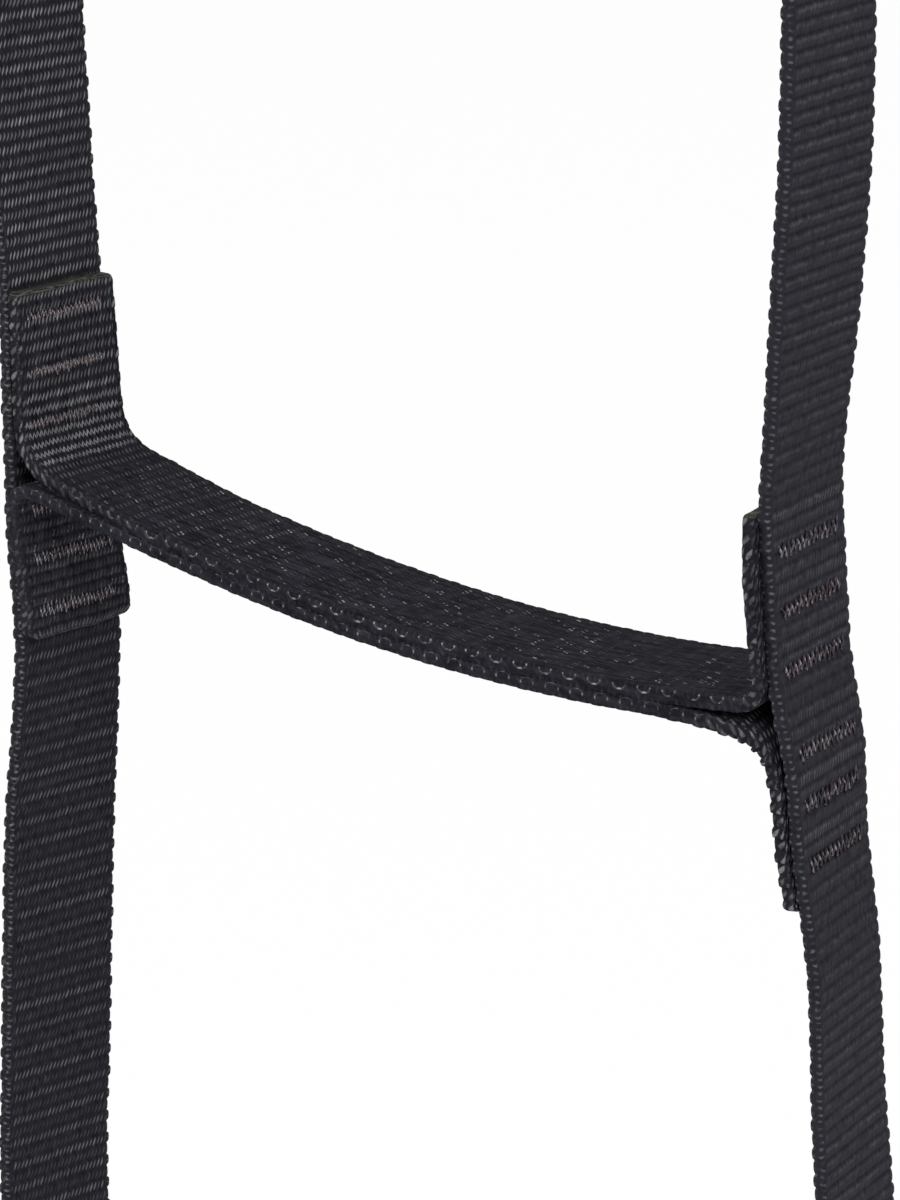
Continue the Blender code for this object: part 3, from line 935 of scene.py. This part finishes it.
tread_finishes = {
    layer: webbing_finish(
        f"{layer}_tread_webbing_weave", (0.0062, 0.0059, 0.0086, 1), (0.0270, 0.0262, 0.0345, 1),
        (0.36, 0.36, 0.37, 1), 0.025, dots=0.60, loops=tread_loops[layer], strands=0.36,
        ovals=0.03, streaks=(1.3, 0.25), shadow=tread_shadow[layer],
    )
    for layer in layer_ways
}
for number, level in enumerate(step_levels, start=1):
    for layer, way in layer_ways.items():
        course = tread_course(level, layer, way)
        presses = []
        for word, side in rail_sides:
            for tack in (1, 2, 3):
                sewn_at = tack_level(number, word, side, layer, tack)
                point, _, inward = rail_frame(side, sewn_at)
                presses.append(course.nearest(point + inward * tab_offset))
        left, right = (tab_lies[layer, side] for side in (-1, 1))
        lie = [*left, *((course.length - row[0], *row[1:]) for row in right[::-1])]
        corners = [tab_corners[layer, side] for side in (-1, 1)]
        tab_pitch = tab_pitches[layer]
        near = tuple(zip((0.0, *pitch_changes), (tab_pitch, tab_pitch, tread_pitch)))
        pitches = [*near, *((course.length - at, pitch) for at, pitch in near[::-1])]
        piece = webbing(
            f"{layer}_tread_{number}", course, 0.0, course.length, ("cut", "cut"), presses,
            tread_painted_sheen[layer], tread_ribbing, hems=tread_hems[layer], lie=list(zip(*lie)),
            corners=corners, pitches=pitches, evenness=tread_evenness[layer], blunt=0.38,
            melts=(left_melts[layer], melted_length),
        )
        piece.data.materials.append(tread_finishes[layer])
        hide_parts(f"tread_{layer}_{number}")
        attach(piece, f"step_{number}")

# Bar tacks
# Dense zigzags of polyester thread, 19 by 2 to 3 mm, sewn by machine through rail and tab, or
# through the two legs of the eye. The needle's thread shows on one face and the bobbin's, finer
# and paler, on the other. Both sink a little into the webbing.
tack_half = 0.0094
tack_reaches = {
    ("upper", -1): 0.00085, ("upper", 1): 0.00130, ("lower", -1): 0.00120, ("lower", 1): 0.00130,
    "head": 0.0010,
}
thread_radii = {-1: 0.00027, 1: 0.00017}
zigzags = {-1: 13, 1: 20}
thread_sides = 6
stitch_lift = 0.00016
stitch_bite = 0.00002
stitch_stray = 0.00044
reach_stray = 0.80
thread_sinks = 0.00004


def thread_finish(name, dull, bright, gate):
    """Twisted thread; gate holds the noise levels between which its plies start to show."""
    material, shader = finish(name, 0.6, 0.3)
    start = Shade(shader.outputs[0])
    u, v, place = woven_places(start)
    # The plies show in the thread's pale colour. The dark colour is painted shade: between the
    # plies, on every second leg of each zigzag, and in patches where the shade noise is low. A red
    # tint wanders over both colours
    twist = (u + v * 2.5).part().away(0.5).rising(0.5, 0.15)
    ply = twist * ((v * 0.5).part().rising(0.60, 0.40) + 0.35)
    shade = place.clouds(900.0)
    red_tint = place.clouds(330.0, 1.0).rising(0.35, 0.65)
    dark = red_tint.mixed((0.013, 0.010, 0.013, 1), (0.024, 0.015, 0.020, 1))
    pale = red_tint.mixed(dull, bright)
    feed(shader, "Base Color", (ply * shade.rising(*gate)).mixed(dark, pale))
    feed(shader, "Roughness", 0.75 - ply * 0.25)
    bump = start.node("ShaderNodeBump", (), {"Strength": 0.5, "Distance": 0.0001, "Height": ply})
    feed(shader, "Normal", bump)
    return material


needle_thread = thread_finish(
    "bar_tack_needle_thread", (0.235, 0.218, 0.252, 1), (0.268, 0.226, 0.264, 1), (0.41, 0.66)
)
bobbin_thread = thread_finish(
    "bar_tack_bobbin_thread", (0.320, 0.290, 0.315, 1), (0.350, 0.288, 0.302, 1), (0.30, 0.54)
)


def zigzag(name, centre, upward, inward, faces, seed, tack_reach):
    """One tack: a zigzag on each face, as one mesh, with its length along Y."""
    both = bmesh.new()
    for face, outward in faces:
        count = 4 * zigzags[outward] + 1
        step = np.arange(count)
        along = np.choose(step % 4, (1.0, 0.0, -1.0, 0.0)) * tack_reach
        lift = np.where(step % 2 == 1, stitch_lift, -stitch_bite)
        rough = np.array(
            [noise.noise(Vector((k * 0.61, seed * 3.1, face * 900))) for k in step]
        )
        y = np.linspace(-tack_half, tack_half, count) + rough * stitch_stray
        along = along * (1 + rough * reach_stray)
        spot = centre + inward * face
        x = spot[0] + upward[0] * along + outward * inward[0] * lift
        z = spot[1] + upward[1] * along + outward * inward[1] * lift
        line = np.column_stack([x, y, z])
        run = np.gradient(line, axis=0)
        run /= np.linalg.norm(run, axis=1)[:, None]
        normal = np.array([inward[0], 0, inward[1]])
        side_way = np.cross(run, normal)
        side_way /= np.linalg.norm(side_way, axis=1)[:, None]
        normals = np.cross(side_way, run)

        def place(columns, rings):
            turn = 2 * np.pi * (columns % thread_sides) / thread_sides
            tip = np.where((rings == 0) | (rings == count - 1), 0.4, 1.0)
            reach = (np.cos(turn) * tip)[:, None] * side_way[rings]
            reach = reach + (np.sin(turn) * tip)[:, None] * normals[rings]
            return turned(line[rings] + reach * thread_radii[outward])

        spots = (np.arange(thread_sides + 1) / thread_sides, step / 2.0)
        half = wrapped(f"{name}_face", thread_sides, count - 1, place, spots)
        for face_part in half.data.polygons:
            face_part.material_index = int(outward > 0)
        both.from_mesh(half.data)
        bpy.data.objects.remove(half)
    mesh = bpy.data.meshes.new(name)
    both.to_mesh(mesh)
    both.free()
    piece = placed(name, mesh)
    mesh.materials.append(needle_thread)
    mesh.materials.append(bobbin_thread)
    return piece


sunk = crown_thickness - press_depth - thread_sinks
for number, word, side, layer, tack in step_tacks:
    centre, upward, inward = rail_frame(side, tack_level(number, word, side, layer, tack))
    faces = ((-sunk, -1), (tab_offset + sunk, 1))
    seed = number * 17 + tack * 5 + side + (layer == "upper") * 9
    piece = zigzag(
        f"stitches_{number}_{word}_{layer}_{tack}", centre, upward, inward, faces, seed,
        tack_reaches[layer, side],
    )
    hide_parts(f"tack_{number}_{word}_{layer}_{tack}")
    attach(piece, f"step_{number}")
for tack in (1, 2, 3):
    low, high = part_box(f"head_tack_{tack}")
    centre = np.array([0.0, (low.z + high.z) / 2])
    faces = ((-layer_offset - sunk, -1), (layer_offset + sunk, 1))
    up, across_legs = np.array([0.0, 1.0]), np.array([1.0, 0.0])
    piece = zigzag(
        f"stitches_head_{tack}", centre, up, across_legs, faces, tack * 7, tack_reaches["head"]
    )
    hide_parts(f"head_tack_{tack}")
    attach(piece, "head")

# Studio
# A plain white floor under the hanging ladder, soft lamps all round and a white surround. The
# camera looks at the middle step from its right-hand front, a little above it.
floor_level = -1.125
target = Vector((0.00983, 0.0, -0.73324))
camera_distance = 0.91446
camera_azimuth, camera_elevation = 46.55, 17.44
focal_pixels = 5317.6
photo_height = 1200
sensor = 36
floor_size = 30
floor_glow = 0.94
ambient = 0.62

sheet = bmesh.new()
bmesh.ops.create_grid(sheet, x_segments=1, y_segments=1, size=floor_size)
bmesh.ops.translate(sheet, verts=sheet.verts, vec=(0, 0, floor_level))
floor_mesh = bpy.data.meshes.new("floor")
sheet.to_mesh(floor_mesh)
sheet.free()
floor = placed("floor", floor_mesh)


def seen_plain(start):
    """1 for rays that the camera sees directly, in gloss or through glass, and 0 for others."""
    seen = start.node("ShaderNodeLightPath")
    glossy, through = (seen.other_output(f"Is {kind} Ray") for kind in ("Glossy", "Transmission"))
    return seen.larger(glossy).larger(through)


floor_look, shader = finish("floor_white", 0.9, 0.2)
shader.inputs["Base Color"].default_value = (0.98, 0.98, 0.98, 1)
start = Shade(shader.outputs[0])
bright = start.node("ShaderNodeEmission", (), {"Color": (1, 1, 1, 1), "Strength": 1.0})
glow = seen_plain(start) * floor_glow
blend = start.node("ShaderNodeMixShader", (), {0: glow, 1: start, 2: bright})
output = floor_look.node_tree.nodes["Material Output"]
floor_look.node_tree.links.new(blend.socket, output.inputs[0])
floor_mesh.materials.append(floor_look)

world = bpy.data.worlds.new("studio")
bpy.context.scene.world = world
world.use_nodes = True
background = world.node_tree.nodes["Background"]
background.inputs["Color"].default_value = (1, 1, 1, 1)
surround = seen_plain(Shade(background.outputs[0])) * (1 - ambient) + ambient
world.node_tree.links.new(surround.socket, background.inputs["Strength"])


def lamp(name, place, size, power):
    """A soft round lamp, metres across and in watts, that faces the middle step."""
    light = bpy.data.lights.new(name, "AREA")
    light.shape = "DISK"
    light.size = size
    light.energy = power
    holder = placed(name, light)
    holder.location = place
    aim = target - Vector(place)
    holder.rotation_euler = aim.to_track_quat("-Z", "Y").to_euler()
    holder.visible_camera = False


lamp("key", (-0.9, -2.2, 0.9), 1.2, 34)
lamp("side", (2.1, -0.6, 0.5), 1.2, 24)
lamp("back", (0.6, 2.4, 0.6), 1.4, 8)

camera_data = bpy.data.cameras.new("camera")
camera_data.sensor_width = sensor
camera_data.lens = focal_pixels / photo_height * sensor
camera_data.clip_end = 60
camera = placed("camera", camera_data)
bpy.context.scene.camera = camera
azimuth, elevation = math.radians(camera_azimuth), math.radians(camera_elevation)
level_part = math.cos(elevation)
back = Vector(
    (math.sin(azimuth) * level_part, -math.cos(azimuth) * level_part, math.sin(elevation))
)
camera.location = target + back * camera_distance
camera.rotation_mode = "QUATERNION"
camera.rotation_quaternion = (-back).to_track_quat("-Z", "Y")
bpy.context.scene.view_settings.view_transform = "Standard"
